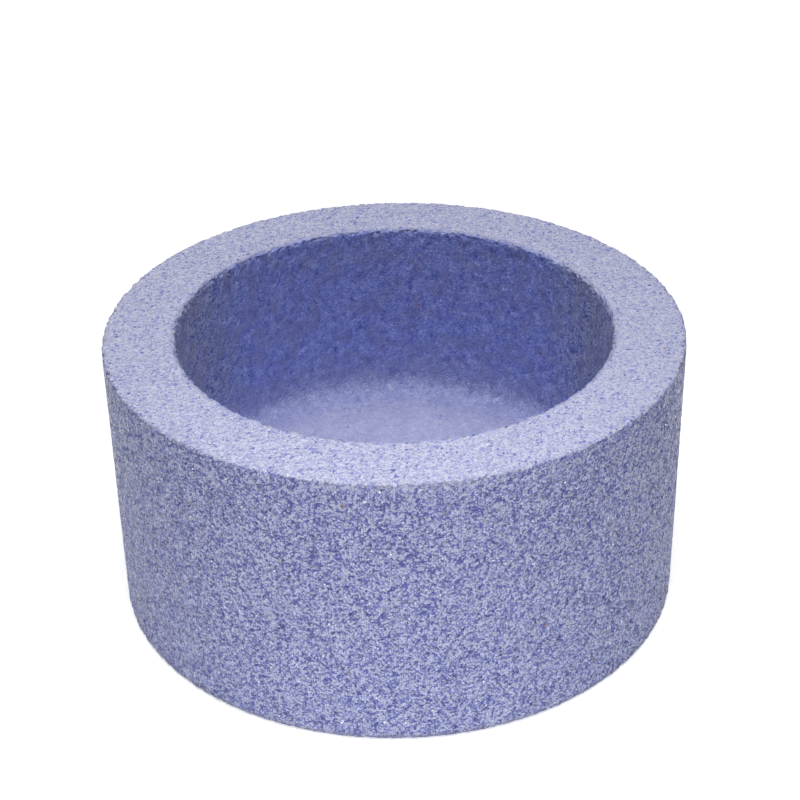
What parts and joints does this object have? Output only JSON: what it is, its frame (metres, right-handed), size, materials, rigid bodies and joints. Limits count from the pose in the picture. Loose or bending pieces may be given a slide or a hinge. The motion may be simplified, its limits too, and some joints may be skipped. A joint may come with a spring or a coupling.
{
  "type": "straight cup grinding wheel",
  "caption": "Straight cup grinding wheel: a one-piece vitrified abrasive cup with a flat grinding rim, a deep round recess and an arbor bore through its back.",
  "frame": {"origin": "centre of the back face, on the wheel's axis", "axes": "+Z along the wheel's axis, from the back face towards the grinding rim; X and Y are any two radii"},
  "size_m": [0.1, 0.1, 0.05],
  "materials": {
    "vitrified_abrasive": "open-grained fired abrasive, pale blue-violet, matt, with bright and dark grains"
  },
  "bodies": {
    "root": {"grinding_wheel": "vitrified_abrasive"}
  },
  "joints": []
}
